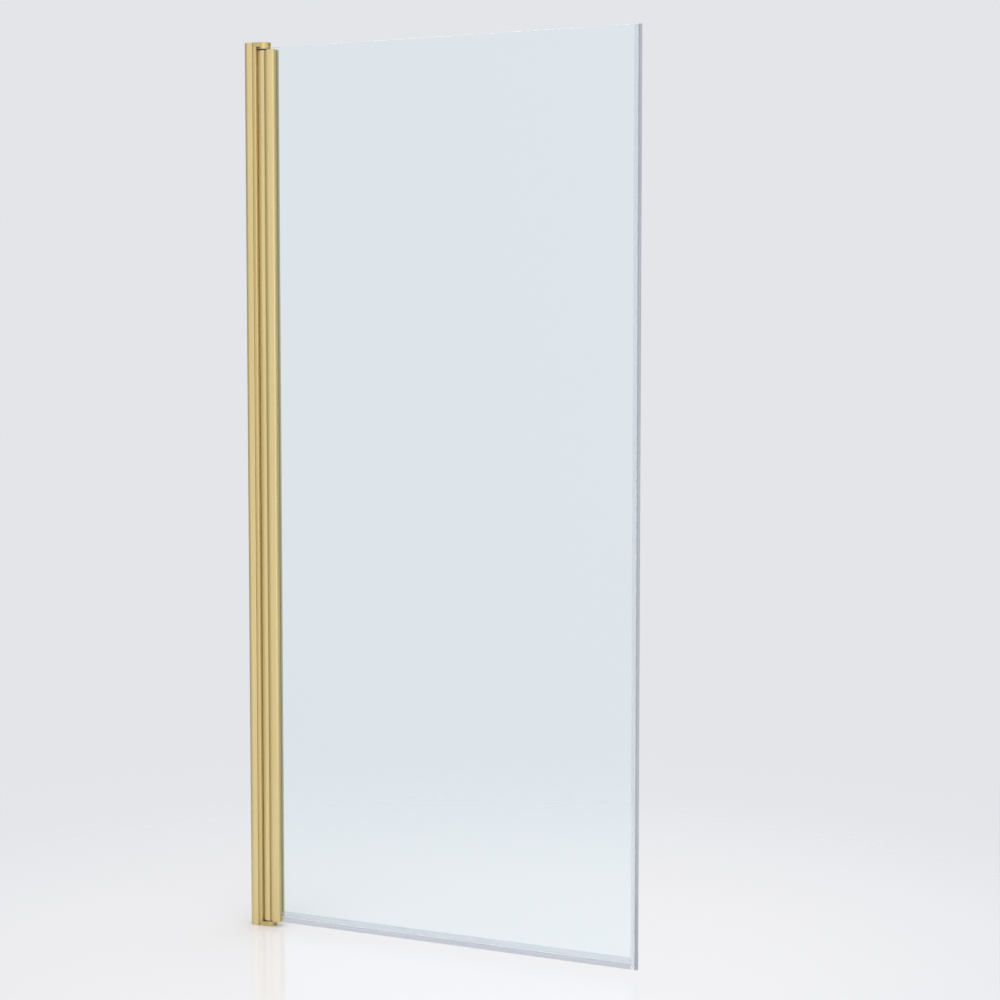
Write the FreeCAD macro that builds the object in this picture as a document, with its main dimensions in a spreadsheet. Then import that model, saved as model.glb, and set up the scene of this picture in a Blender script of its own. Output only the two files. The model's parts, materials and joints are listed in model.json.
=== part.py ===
import FreeCAD, Part
import math
import os
from types import SimpleNamespace

import Sketcher

# Swing shower door: a wall profile, an adjusting profile with two pivot brackets, and a glass door on them.
# X runs from the wall to the free edge, +Y into the shower, Z up from the foot of the wall profile.
# Y = 0 is the middle of the glass. All lengths are millimetres.

driving_sizes = {
    # whole door
    "door_width": 900.0,  # wall to the tip of the closing seal
    "profile_height": 1900.0,  # wall profile, and pivot bracket to pivot bracket
    "floor_gap": 10.0,  # foot of the wall profile to the lowest seal edge
    # wall profile
    "channel_depth": 22.5,
    "channel_wall": 1.8,
    "front_corner": 12.0,  # outer radius of the front edge at the wall
    "rear_corner": 4.5,
    "wall_hole_radius": 2.5,
    "wall_hole_inset": 125.0,  # from each end of the profile
    # adjusting profile
    "adjust_exposed": 7.5,  # part of its depth that stands out of the wall profile
    "adjust_room": 5.2,  # free room behind it
    "adjust_step": 0.4,  # it is thicker than the door profile by this much on each side
    "slide_clearance": 0.3,
    "adjust_leg": 2.0,
    "adjust_leg_tip": 0.6,  # thickness of the legs at their chamfered back edges
    "front_leg_setback": 4.0,  # the front leg is shorter, to clear the round edge of the wall profile
    "front_leg_chamfer": 3.0,
    "adjust_web": 2.0,
    "adjust_chamber": 6.5,
    "adjust_end": 3.5,
    "adjust_edge": 1.6,
    "port_radius": 2.0,  # screw ports for the bracket screws
    "port_inset": 5.2,
    "port_wall": 1.2,
    "slide_in": 4.0,  # travel towards the wall
    "slide_out": 6.0,
    # hinge gasket and its slot
    "gasket_mouth": 3.0,
    "gasket_mouth_depth": 1.0,
    "gasket_slot_width": 6.0,
    "gasket_slot_depth": 2.5,
    "gasket_proud": 0.2,
    "gasket_clearance": 0.1,
    # adjusting screws and washers
    "adjust_screw_radius": 2.0,
    "adjust_screw_reach": 4.0,  # past the leg of the adjusting profile
    "adjust_screw_place": 10.5,  # from the open edge of the wall profile
    "adjust_screw_inset": 250.0,
    "adjust_screw_tip": 1.5,
    "adjust_head_radius": 3.9,
    "adjust_head_side": 1.2,
    "adjust_head_dome": 1.2,
    "adjust_socket_flats": 3.0,
    "adjust_socket_depth": 1.4,
    "adjust_washer_radius": 4.8,
    "adjust_washer_thickness": 0.8,
    "slot_clearance": 0.3,
    "thread_clearance": 0.05,
    # pivot
    "hinge_gap": 0.5,
    "bracket_plate": 9.0,
    "bracket_corner": 10.0,  # radius of the plate's edges towards the wall
    "lower_boss": 10.0,
    "upper_boss": 14.0,
    "upper_play": 1.0,  # lift of the door before it meets the upper boss
    "spigot_reach": 12.0,
    "spigot_clearance": 0.2,
    "pin_radius": 4.0,
    "pin_recess": 0.5,
    "pin_engagement": 25.0,  # length inside the door profile
    "pin_chamfer": 0.6,
    "pin_seat_clearance": 0.02,
    "running_clearance": 0.05,
    "bush_length": 30.0,
    "bush_clearance": 0.05,
    "bush_chamfer": 1.0,
    "flange_inset": 0.7,  # flange and washer stand back from the nose by this much
    "washer_thickness": 1.0,
    "washer_clearance": 0.2,
    "set_screw_radius": 2.0,
    "set_screw_recess": 1.0,
    "set_screw_flats": 2.0,
    "set_screw_socket": 2.0,
    # bracket screws
    "bracket_head_radius": 4.0,
    "bracket_head_sunk": 0.3,
    "bracket_screw_reach": 16.0,  # inside the screw port
    "bracket_screw_tip": 1.5,
    "bracket_socket_flats": 2.5,
    "bracket_socket_depth": 1.4,
    "bracket_hole_clearance": 0.3,
    "sink_clearance": 0.1,
    # door profile
    "barrel_wall": 2.5,
    "bore_web": 3.0,  # between the bore and the glazing channel
    "glazing_depth": 15.5,
    "profile_skin": 1.5,
    "profile_edge": 2.5,
    "channel_front": 1.6,  # wall between the glazing channel and the front chamber
    "clamp_skin": 2.7,
    "clamp_space": 2.8,  # behind the clamp bar
    "clamp_lip": 1.5,
    "groove_place": 6.2,  # shadow groove, from the pivot axis
    "groove_width": 10.8,  # with the rounded shoulder towards the glass
    "groove_depth": 2.4,
    "groove_slant": 0.8,
    # profile caps
    "cap_thickness": 1.5,
    "cap_peg": 8.0,
    "cap_clearance": 0.3,
    # glazing
    "glass_thickness": 6.0,
    "glass_bed": 2.0,
    "glass_rise": 6.0,  # glass above the door profile
    "glass_arris": 0.6,
    "gasket_thickness": 2.0,
    "bead_depth": 1.2,
    "bead_lip": 1.5,
    "bead_round": 1.0,
    "clamp_bar_thickness": 3.0,
    "clamp_bar_margin": 1.0,
    "clamp_bar_end": 3.0,
    "clamp_screw_radius": 2.5,
    "clamp_screw_recess": 0.5,
    "clamp_screw_flats": 2.5,
    "clamp_screw_socket": 2.0,
    "clamp_screw_inset": 140.0,
    "block_clearance": 0.2,
    # seals
    "clip_clearance": 0.1,
    "clip_wall": 1.0,
    "clip_web": 1.4,
    "seal_joint": 0.5,  # gap at each end of the bottom seal
    "seal_drop": 11.0,  # glass edge to the tip of the wiper
    "seal_leg": 12.0,
    "wiper_root": 1.2,
    "wiper_tip": 0.7,
    "wiper_lean": 0.8,
    "drip_reach": 7.0,
    "drip_drop": 5.5,
    "drip_tip": 0.6,
    "closing_leg": 8.0,
    "closing_reach": 7.0,  # glass edge to the tip of the bulb
    "bulb_neck": 1.6,
    "bulb_wall": 0.8,
}
wall_hole_count = 4
adjust_screw_count = 3
clamp_screw_count = 5

doc = FreeCAD.newDocument("shower_door")
sheet = doc.addObject("Spreadsheet::Sheet", "Sizes")
for row, (alias, value) in enumerate(driving_sizes.items(), start=1):
    sheet.set(f"A{row}", alias)
    sheet.set(f"B{row}", str(value))
    sheet.setAlias(f"B{row}", alias)
doc.recompute()


class Size:
    """A length as a number, with the expression that ties it to the sheet."""

    def __init__(self, value, text):
        self.value = value
        self.text = text

    def combined(self, other, sign, value):
        return Size(value, f"({self.text} {sign} {other.text})")

    def __add__(self, other):
        other = as_size(other)
        return self.combined(other, "+", self.value + other.value)

    def __sub__(self, other):
        other = as_size(other)
        return self.combined(other, "-", self.value - other.value)

    def __mul__(self, other):
        other = as_size(other)
        return self.combined(other, "*", self.value * other.value)

    def __truediv__(self, other):
        other = as_size(other)
        return self.combined(other, "/", self.value / other.value)

    def __neg__(self):
        return self * -1


def as_size(number):
    return number if isinstance(number, Size) else Size(number, str(number))


size = SimpleNamespace(**{alias: Size(sheet.get(alias), f"Sizes.{alias}") for alias in driving_sizes})
zero = as_size(0)
left = 1  # an arc that turns left, seen along its outline
right = -1

# Half thicknesses, from the glass outwards.
glass_half = size.glass_thickness / 2
channel_face = glass_half + size.gasket_thickness
clamp_back = channel_face + size.clamp_bar_thickness
clamp_wall = clamp_back + size.clamp_space
profile_half = clamp_wall + size.clamp_skin
adjust_half = profile_half + size.adjust_step
channel_inner = adjust_half + size.slide_clearance
channel_half = channel_inner + size.channel_wall

# Places along X, from the wall outwards.
adjust_back = size.channel_wall + size.adjust_room
adjust_front = size.channel_depth + size.adjust_exposed
chamber_front = adjust_front - size.adjust_end
chamber_back = chamber_front - size.adjust_chamber
pocket_floor = chamber_back - size.adjust_web
port_x = (chamber_back + chamber_front) / 2
port_y = adjust_half - size.port_inset
chamber_half = port_y - size.port_radius - size.port_wall
adjust_screw_x = size.channel_depth - size.adjust_screw_place
pivot_x = adjust_front + size.hinge_gap + profile_half
bore_radius = profile_half - size.barrel_wall
flange_radius = profile_half - size.flange_inset
glazing_x = pivot_x + bore_radius + size.bore_web
profile_end = glazing_x + size.glazing_depth
lip_x = profile_end - size.clamp_lip
bead_end = profile_end + size.bead_depth
glass_start = glazing_x + size.glass_bed
glass_end = size.door_width - size.closing_reach
closing_start = glass_end - size.closing_leg
bar_start = glazing_x + size.clamp_bar_margin
bar_end = lip_x - size.clamp_bar_margin
clamp_screw_x = (bar_start + bar_end) / 2

# Heights. The lower and upper stacks run from the outer ends of the brackets to the door profile.
lower_washer = size.lower_boss
upper_washer = size.upper_boss + size.upper_play
lower_flange = lower_washer + size.washer_thickness
upper_flange = upper_washer + size.washer_thickness
profile_bottom = lower_flange + size.cap_thickness
profile_top = size.profile_height - upper_flange - size.cap_thickness
profile_length = profile_top - profile_bottom
adjust_length = size.profile_height - size.bracket_plate * 2
glass_bottom = size.floor_gap + size.seal_drop
glass_top = profile_top + size.glass_rise
set_screw_height = size.bracket_plate / 2


def spread(count, inset, bottom, top):
    """Heights of evenly spaced holes, the first and last at the inset from the ends."""
    step = (top - bottom - inset * 2) / (count - 1)
    return [bottom + inset + step * i for i in range(count)]


wall_hole_heights = spread(wall_hole_count, size.wall_hole_inset, zero, size.profile_height)
adjust_screw_heights = spread(adjust_screw_count, size.adjust_screw_inset, zero, size.profile_height)
clamp_screw_heights = spread(clamp_screw_count, size.clamp_screw_inset, profile_bottom, profile_top)


def corner(x, y):
    """The next corner of an outline, reached by a straight edge."""
    return SimpleNamespace(x=x, y=y, radius=None, turn=None)


def bend(x, y, radius, turn):
    """The next corner of an outline, reached by an arc of less than half a circle."""
    return SimpleNamespace(x=x, y=y, radius=radius, turn=turn)


def ring(x, y, radius):
    """A full circle."""
    return SimpleNamespace(x=x, y=y, radius=radius)


def rectangle(x0, y0, x1, y1):
    return [corner(x0, y0), corner(x1, y0), corner(x1, y1), corner(x0, y1)]


def hexagon(flats):
    """A hexagon about the origin, by its width across flats."""
    reach = flats / math.sqrt(3)
    half = reach / 2
    side = flats / 2
    return [
        corner(reach, zero),
        corner(half, side),
        corner(-half, side),
        corner(-reach, zero),
        corner(-half, -side),
        corner(half, -side),
    ]


def point(place):
    return FreeCAD.Vector(place.x.value, place.y.value, 0)


def edge_between(start, end):
    """The edge that reaches a corner, with the numbers of its start and end points."""
    if end.radius is None:
        return Part.LineSegment(point(start), point(end)), 1, 2
    middle = (point(start) + point(end)) / 2
    half_chord = (point(end) - point(start)) / 2
    across = FreeCAD.Vector(-half_chord.y, half_chord.x, 0).normalize() * end.turn
    centre = middle + across * math.sqrt(end.radius.value**2 - half_chord.Length**2)
    angles = [math.atan2(p.y - centre.y, p.x - centre.x) for p in (point(start), point(end))]
    circle = Part.Circle(centre, FreeCAD.Vector(0, 0, 1), end.radius.value)
    if end.turn == left:
        return Part.ArcOfCircle(circle, *angles), 1, 2
    return Part.ArcOfCircle(circle, *reversed(angles)), 2, 1


def draw_ring(sketch, place):
    circle = Part.Circle(point(place), FreeCAD.Vector(0, 0, 1), place.radius.value)
    number = sketch.addGeometry(circle)
    tie(sketch, "DistanceX", (number, 3), place.x)
    tie(sketch, "DistanceY", (number, 3), place.y)
    tie(sketch, "Radius", (number,), place.radius)


def draw_outline(sketch, corners):
    edges = [edge_between(corners[i - 1], corners[i]) for i in range(len(corners))]
    numbers = [sketch.addGeometry(edge) for edge, _, _ in edges]
    for i, place in enumerate(corners):
        after = (i + 1) % len(corners)
        end = (numbers[i], edges[i][2])
        start = (numbers[after], edges[after][1])
        sketch.addConstraint(Sketcher.Constraint("Coincident", *end, *start))
        tie(sketch, "DistanceX", end, place.x)
        tie(sketch, "DistanceY", end, place.y)
        if place.radius is not None:
            tie(sketch, "Radius", (numbers[i],), place.radius)


def tie(sketch, kind, target, length):
    number = sketch.addConstraint(Sketcher.Constraint(kind, *target, length.value))
    sketch.setExpression(f"Constraints[{number}]", length.text)


nodes = {}


def keep(item, label, solids=1):
    """Names a finished sub-part and says how many solids it holds."""
    item.Label = label
    nodes[label] = (item, solids)


def place(item, x=zero, y=zero, z=zero, turn=None):
    if turn is not None:
        item.Placement.Rotation = turn
    item.setExpression("Placement.Base.x", x.text)
    item.setExpression("Placement.Base.y", y.text)
    item.setExpression("Placement.Base.z", z.text)


upside_down = FreeCAD.Rotation(FreeCAD.Vector(1, 0, 0), 180)
facing_y = FreeCAD.Rotation(FreeCAD.Vector(1, 0, 0), -90)
facing_x = FreeCAD.Rotation(FreeCAD.Vector(0, 1, 0), 90)


def new_body(label):
    return doc.addObject("PartDesign::Body", label)


def origin_plane(body, role):
    return next(feature for feature in body.Origin.OriginFeatures if feature.Role == role)


def sketch_on(body, role, outlines, offset=None):
    """A sketch on one of the body's own planes, moved along the plane's normal by the offset."""
    sketch = body.newObject("Sketcher::SketchObject", f"{body.Name}_sketch")
    sketch.AttachmentSupport = (origin_plane(body, role), [""])
    sketch.MapMode = "FlatFace"
    if offset is not None:
        sketch.setExpression("AttachmentOffset.Base.z", offset.text)
    for outline in outlines:
        if isinstance(outline, list):
            draw_outline(sketch, outline)
        else:
            draw_ring(sketch, outline)
    return sketch


def pad(body, role, outlines, length, offset=None):
    feature = body.newObject("PartDesign::Pad", f"{body.Name}_pad")
    feature.Profile = sketch_on(body, role, outlines, offset)
    feature.setExpression("Length", length.text)
    body.Tip = feature
    doc.recompute()
    return feature


def cut(body, role, outlines, reverse, offset=None):
    """Cuts outlines through everything on one side of their plane, and checks that material went."""
    before = body.Shape.Volume
    feature = body.newObject("PartDesign::Pocket", f"{body.Name}_cut")
    feature.Profile = sketch_on(body, role, outlines, offset)
    feature.Type = "ThroughAll"
    feature.Reversed = reverse
    body.Tip = feature
    doc.recompute()
    if body.Shape.Volume >= before:
        raise RuntimeError(f"{body.Name}: a cut took nothing away")


def turned_body(label, outline):
    """A body of revolution: the outline gives radius and height."""
    body = new_body(label)
    feature = body.newObject("PartDesign::Revolution", f"{label}_turn")
    feature.Profile = sketch_on(body, "XZ_Plane", [outline])
    feature.ReferenceAxis = (feature.Profile[0], ["V_Axis"])
    feature.Angle = 360
    body.Tip = feature
    doc.recompute()
    return body


def group(label, bodies):
    compound = doc.addObject("Part::Compound", label)
    compound.Links = bodies
    keep(compound, label, len(bodies))


def wall_profile():
    front = size.front_corner
    rear = size.rear_corner
    front_turn = front - channel_half
    rear_turn = channel_half - rear
    section = [
        corner(size.channel_depth, -channel_half),
        corner(front, -channel_half),
        bend(zero, front_turn, front, right),
        corner(zero, rear_turn),
        bend(rear, channel_half, rear, right),
        corner(size.channel_depth, channel_half),
        corner(size.channel_depth, channel_inner),
        corner(rear, channel_inner),
        bend(size.channel_wall, rear_turn, rear - size.channel_wall, left),
        corner(size.channel_wall, front_turn),
        bend(front, -channel_inner, front - size.channel_wall, left),
        corner(size.channel_depth, -channel_inner),
    ]
    body = new_body("wall_profile")
    pad(body, "XY_Plane", [section], size.profile_height)
    holes = [ring(zero, height, size.wall_hole_radius) for height in wall_hole_heights]
    cut(body, "YZ_Plane", holes, reverse=True)
    half_slot = size.adjust_screw_radius + size.slot_clearance
    near = adjust_screw_x - size.slide_in
    far = adjust_screw_x + size.slide_out
    slots = [slot(near, far, height, half_slot) for height in adjust_screw_heights]
    cut(body, "XZ_Plane", slots, reverse=False)
    keep(body, "wall_profile")


def slot(near, far, height, half):
    """A level slot with round ends."""
    return [
        bend(near, height - half, half, left),
        corner(far, height - half),
        bend(far + half, height, half, left),
        bend(far, height + half, half, left),
        corner(near, height + half),
        bend(near - half, height, half, left),
    ]


def adjusting_profile():
    mouth = size.gasket_mouth / 2
    slot_half = size.gasket_slot_width / 2
    mouth_floor = adjust_front - size.gasket_mouth_depth
    slot_floor = adjust_front - size.gasket_slot_depth
    leg_inner = adjust_half - size.adjust_leg
    tip = leg_inner + size.adjust_leg_tip
    front_leg_back = adjust_back + size.front_leg_setback
    rear_chamfer_end = adjust_back + size.adjust_leg - size.adjust_leg_tip
    section = [
        corner(front_leg_back, -tip),
        corner(front_leg_back + size.front_leg_chamfer, -adjust_half),
        corner(adjust_front - size.adjust_edge, -adjust_half),
        bend(adjust_front, -adjust_half + size.adjust_edge, size.adjust_edge, left),
        corner(adjust_front, -mouth),
        corner(mouth_floor, -mouth),
        corner(mouth_floor, -slot_half),
        corner(slot_floor, -slot_half),
        corner(slot_floor, slot_half),
        corner(mouth_floor, slot_half),
        corner(mouth_floor, mouth),
        corner(adjust_front, mouth),
        corner(adjust_front, adjust_half - size.adjust_edge),
        bend(adjust_front - size.adjust_edge, adjust_half, size.adjust_edge, left),
        corner(rear_chamfer_end, adjust_half),
        corner(adjust_back, tip),
        corner(adjust_back, leg_inner),
        corner(pocket_floor, leg_inner),
        corner(pocket_floor, -leg_inner),
        corner(front_leg_back, -leg_inner),
    ]
    chamber = rectangle(chamber_back, -chamber_half, chamber_front, chamber_half)
    ports = [ring(port_x, port_y, size.port_radius), ring(port_x, -port_y, size.port_radius)]
    body = new_body("adjusting_profile")
    pad(body, "XY_Plane", [section, chamber, *ports], adjust_length)
    thread = size.adjust_screw_radius + size.thread_clearance
    holes = [ring(adjust_screw_x, height - size.bracket_plate, thread) for height in adjust_screw_heights]
    cut(body, "XZ_Plane", holes, reverse=False)
    place(body, z=size.bracket_plate)
    keep(body, "adjusting_profile")


def hinge_gasket():
    """A T-shaped strip that slides into the end of the adjusting profile."""
    stem = size.gasket_mouth / 2 - size.gasket_clearance
    head = size.gasket_slot_width / 2 - size.gasket_clearance
    tip = adjust_front + size.gasket_proud
    head_front = adjust_front - size.gasket_mouth_depth - size.gasket_clearance
    head_back = adjust_front - size.gasket_slot_depth + size.gasket_clearance
    section = [
        corner(head_back, -head),
        corner(head_front, -head),
        corner(head_front, -stem),
        corner(tip, -stem),
        corner(tip, stem),
        corner(head_front, stem),
        corner(head_front, head),
        corner(head_back, head),
    ]
    body = new_body("hinge_gasket")
    pad(body, "XY_Plane", [section], adjust_length)
    place(body, z=size.bracket_plate)
    keep(body, "hinge_gasket")


def adjusting_fasteners():
    """Domed screws with washers, driven from the shower side through the slots."""
    shank = size.adjust_screw_radius
    leg_inner = adjust_half - size.adjust_leg
    length = size.adjust_washer_thickness + channel_half - leg_inner + size.adjust_screw_reach
    head = size.adjust_head_radius
    dome = size.adjust_head_dome
    head_top = size.adjust_head_side + dome
    dome_radius = (head * head + dome * dome) / (dome * 2)
    screw_outline = [
        corner(zero, -length),
        corner(shank, size.adjust_screw_tip - length),
        corner(shank, zero),
        corner(head, zero),
        corner(head, size.adjust_head_side),
        bend(zero, head_top, dome_radius, left),
    ]
    washer_outline = rectangle(
        shank + size.slot_clearance, zero, size.adjust_washer_radius, size.adjust_washer_thickness
    )
    screws = []
    washers = []
    for i, height in enumerate(adjust_screw_heights):
        screw = turned_body(f"adjusting_screw_{i}", screw_outline)
        socket_floor = head_top - size.adjust_socket_depth
        cut(screw, "XY_Plane", [hexagon(size.adjust_socket_flats)], reverse=True, offset=socket_floor)
        place(screw, adjust_screw_x, channel_half + size.adjust_washer_thickness, height, facing_y)
        screws.append(screw)
        washer = turned_body(f"adjusting_washer_{i}", washer_outline)
        place(washer, adjust_screw_x, channel_half, height, facing_y)
        washers.append(washer)
    group("adjusting_screws", screws)
    group("adjusting_washers", washers)


def at_pivot(item, end):
    """Puts a piece on the pivot axis, built up from the lower or down from the upper end."""
    if end == "lower":
        place(item, x=pivot_x)
    else:
        place(item, x=pivot_x, z=size.profile_height, turn=upside_down)


def pivot_bracket(end, boss):
    """A plate under the adjusting profile that carries a round boss, with a spigot in the chamber."""
    back = adjust_back - pivot_x
    turn = size.bracket_corner
    plate = [
        corner(back, turn - profile_half),
        bend(back + turn, -profile_half, turn, left),
        corner(zero, -profile_half),
        bend(profile_half, zero, profile_half, left),
        bend(zero, profile_half, profile_half, left),
        corner(back + turn, profile_half),
        bend(back, profile_half - turn, turn, left),
    ]
    gap = size.spigot_clearance
    spigot_half = chamber_half - gap
    spigot = rectangle(
        chamber_back - pivot_x + gap, -spigot_half, chamber_front - pivot_x - gap, spigot_half
    )
    body = new_body(f"{end}_pivot_bracket")
    pad(body, "XY_Plane", [plate], size.bracket_plate)
    pad(body, "XY_Plane", [ring(zero, zero, profile_half)], boss)
    pad(body, "XY_Plane", [spigot], size.bracket_plate + size.spigot_reach)
    pin_seat = ring(zero, zero, size.pin_radius + size.pin_seat_clearance)
    cut(body, "XY_Plane", [pin_seat], reverse=True)
    set_screw_hole = ring(zero, set_screw_height, size.set_screw_radius + size.thread_clearance)
    cut(body, "YZ_Plane", [set_screw_hole], reverse=True)
    hole = size.port_radius + size.bracket_hole_clearance
    sink_radius = size.bracket_head_radius + size.bracket_head_sunk + size.sink_clearance
    port = port_x - pivot_x
    cut(body, "XY_Plane", [ring(port, port_y, hole), ring(port, -port_y, hole)], reverse=True)
    for side in (port_y, -port_y):
        sink = body.newObject("PartDesign::SubtractiveCone", f"{end}_sink")
        sink.AttachmentSupport = (origin_plane(body, "XY_Plane"), [""])
        sink.MapMode = "FlatFace"
        sink.setExpression("AttachmentOffset.Base.x", port.text)
        sink.setExpression("AttachmentOffset.Base.y", side.text)
        sink.setExpression("Radius1", sink_radius.text)
        sink.setExpression("Radius2", hole.text)
        sink.setExpression("Height", (sink_radius - hole).text)
        body.Tip = sink
        doc.recompute()
    at_pivot(body, end)
    keep(body, f"{end}_pivot_bracket")


def bracket_screws(end):
    """Countersunk screws through the bracket plate into the screw ports."""
    shank = size.port_radius - size.thread_clearance
    head = size.bracket_head_radius
    top = size.bracket_head_sunk
    tip = size.bracket_plate + size.bracket_screw_reach
    outline = [
        corner(zero, top),
        corner(head, top),
        corner(shank, top + head - shank),
        corner(shank, tip - size.bracket_screw_tip),
        corner(zero, tip),
    ]
    screws = []
    for i, side in enumerate((port_y, -port_y)):
        screw = turned_body(f"{end}_bracket_screw_{i}", outline)
        socket = hexagon(size.bracket_socket_flats)
        cut(screw, "XY_Plane", [socket], reverse=False, offset=top + size.bracket_socket_depth)
        if end == "lower":
            place(screw, port_x, side)
        else:
            place(screw, port_x, side, size.profile_height, upside_down)
        screws.append(screw)
    group(f"{end}_bracket_screws", screws)


def pivot_pin(end, flange):
    radius = size.pin_radius
    chamfer = size.pin_chamfer
    bottom = size.pin_recess
    top = flange + size.cap_thickness + size.pin_engagement
    outline = [
        corner(zero, bottom),
        corner(radius - chamfer, bottom),
        corner(radius, bottom + chamfer),
        corner(radius, top - chamfer),
        corner(radius - chamfer, top),
        corner(zero, top),
    ]
    body = turned_body(f"{end}_pivot_pin", outline)
    at_pivot(body, end)
    keep(body, f"{end}_pivot_pin")


def set_screw(label, radius, length, flats, socket_depth):
    body = turned_body(label, rectangle(zero, zero, radius, length))
    cut(body, "XY_Plane", [hexagon(flats)], reverse=True, offset=length - socket_depth)
    return body


def pin_set_screw(end):
    """A set screw that faces the free edge and presses on the pin."""
    tip = size.pin_radius + size.thread_clearance
    length = profile_half - size.set_screw_recess - tip
    label = f"{end}_pin_set_screw"
    body = set_screw(label, size.set_screw_radius, length, size.set_screw_flats, size.set_screw_socket)
    height = set_screw_height if end == "lower" else size.profile_height - set_screw_height
    place(body, pivot_x + tip, zero, height, facing_x)
    keep(body, label)


def thrust_washer(end, bottom):
    bore = size.pin_radius + size.washer_clearance
    outline = rectangle(bore, bottom, flange_radius, bottom + size.washer_thickness)
    body = turned_body(f"{end}_thrust_washer", outline)
    at_pivot(body, end)
    keep(body, f"{end}_thrust_washer")


def pivot_bush(end, flange):
    """A flanged plastic bearing in the bore of the door profile."""
    bore = size.pin_radius + size.running_clearance
    outer = bore_radius - size.bush_clearance
    seat = flange + size.cap_thickness
    top = seat + size.bush_length
    outline = [
        corner(bore, flange),
        corner(flange_radius, flange),
        corner(flange_radius, seat),
        corner(outer, seat),
        corner(outer, top - size.bush_chamfer),
        corner(outer - size.bush_chamfer, top),
        corner(bore, top),
    ]
    body = turned_body(f"{end}_pivot_bush", outline)
    at_pivot(body, end)
    keep(body, f"{end}_pivot_bush")


def door_profile():
    half = profile_half
    edge = size.profile_edge
    groove_near = pivot_x + size.groove_place
    groove_bottom = groove_near + size.groove_slant
    groove_far = groove_near + size.groove_width
    groove_floor = half - size.groove_depth
    run = size.groove_width - size.groove_slant
    shoulder = (run * run / size.groove_depth + size.groove_depth) / 2
    section = [
        bend(pivot_x - half, zero, half, left),
        bend(pivot_x, -half, half, left),
        corner(groove_near, -half),
        corner(groove_bottom, -groove_floor),
        bend(groove_far, -half, shoulder, left),
        corner(profile_end - edge, -half),
        bend(profile_end, edge - half, edge, left),
        corner(profile_end, -channel_face),
        corner(glazing_x, -channel_face),
        corner(glazing_x, clamp_wall),
        corner(lip_x, clamp_wall),
        corner(lip_x, channel_face),
        corner(profile_end, channel_face),
        corner(profile_end, half - edge),
        bend(profile_end - edge, half, edge, left),
        corner(groove_far, half),
        bend(groove_bottom, groove_floor, shoulder, left),
        corner(groove_near, half),
        corner(pivot_x, half),
    ]
    bore = ring(pivot_x, zero, bore_radius)
    body = new_body("door_profile")
    pad(body, "XY_Plane", [section, bore, front_chamber(zero)], profile_length)
    thread = size.clamp_screw_radius + size.thread_clearance
    holes = [ring(clamp_screw_x, height - profile_bottom, thread) for height in clamp_screw_heights]
    cut(body, "XZ_Plane", holes, reverse=False)
    place(body, z=profile_bottom)
    keep(body, "door_profile")


def front_chamber(gap):
    """The hollow behind the front face of the door profile, drawn in by a gap on each side."""
    return rectangle(
        glazing_x + gap,
        size.profile_skin - profile_half + gap,
        profile_end - size.profile_skin - gap,
        -channel_face - size.channel_front - gap,
    )


def profile_cap(end):
    """A plate on the end of the glazing part, with a peg in the front chamber."""
    start = pivot_x + flange_radius + size.cap_clearance
    edge = size.profile_edge
    plate = [
        corner(start, -profile_half),
        corner(profile_end - edge, -profile_half),
        bend(profile_end, edge - profile_half, edge, left),
        corner(profile_end, profile_half - edge),
        bend(profile_end - edge, profile_half, edge, left),
        corner(start, profile_half),
    ]
    body = new_body(f"{end}_profile_cap")
    peg = front_chamber(size.cap_clearance)
    if end == "lower":
        pad(body, "XY_Plane", [plate], size.cap_thickness)
        pad(body, "XY_Plane", [peg], size.cap_thickness + size.cap_peg)
        place(body, z=profile_bottom - size.cap_thickness)
    else:
        pad(body, "XY_Plane", [plate], size.cap_thickness, offset=size.cap_peg)
        pad(body, "XY_Plane", [peg], size.cap_peg + size.cap_thickness)
        notch_half = glass_half + size.cap_clearance
        notch = rectangle(glass_start - size.cap_clearance, -notch_half, bead_end, notch_half)
        cut(body, "XY_Plane", [notch], reverse=True)
        place(body, z=profile_top - size.cap_peg)
    keep(body, f"{end}_profile_cap")


def glass_pane():
    body = new_body("glass_pane")
    outline = rectangle(glass_start, -glass_half, glass_end, glass_half)
    blank = pad(body, "XY_Plane", [outline], glass_top - glass_bottom)
    arris = body.newObject("PartDesign::Chamfer", "glass_arris")
    arris.Base = (blank, [f"Edge{i + 1}" for i in range(len(blank.Shape.Edges))])
    arris.setExpression("Size", size.glass_arris.text)
    body.Tip = arris
    doc.recompute()
    place(body, z=glass_bottom)
    keep(body, "glass_pane")


def glazing_gasket(face, side):
    """A strip between glass and profile, with a bead outside; side is -1 at the front and 1 at the rear."""
    lip = channel_face + size.bead_lip
    turn = left if side > 0 else right
    section = [
        corner(bar_start, glass_half * side),
        corner(bead_end, glass_half * side),
        corner(bead_end, (lip - size.bead_round) * side),
        bend(bead_end - size.bead_round, lip * side, size.bead_round, turn),
        corner(profile_end, lip * side),
        corner(profile_end, channel_face * side),
        corner(bar_start, channel_face * side),
    ]
    body = new_body(f"{face}_glazing_gasket")
    pad(body, "XY_Plane", [section], profile_length)
    place(body, z=profile_bottom)
    keep(body, f"{face}_glazing_gasket")


def glass_clamp():
    """A bar behind the rear gasket, and the set screws that press it on the glass."""
    bar = new_body("clamp_bar")
    outline = rectangle(bar_start, channel_face, bar_end, clamp_back)
    pad(bar, "XY_Plane", [outline], profile_length - size.clamp_bar_end * 2)
    place(bar, z=profile_bottom + size.clamp_bar_end)
    keep(bar, "clamp_bar")
    screws = []
    length = profile_half - size.clamp_screw_recess - clamp_back
    for i, height in enumerate(clamp_screw_heights):
        label = f"clamp_screw_{i}"
        screw = set_screw(
            label, size.clamp_screw_radius, length, size.clamp_screw_flats, size.clamp_screw_socket
        )
        place(screw, clamp_screw_x, clamp_back, height, facing_y)
        screws.append(screw)
    group("clamp_screws", screws)


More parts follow.
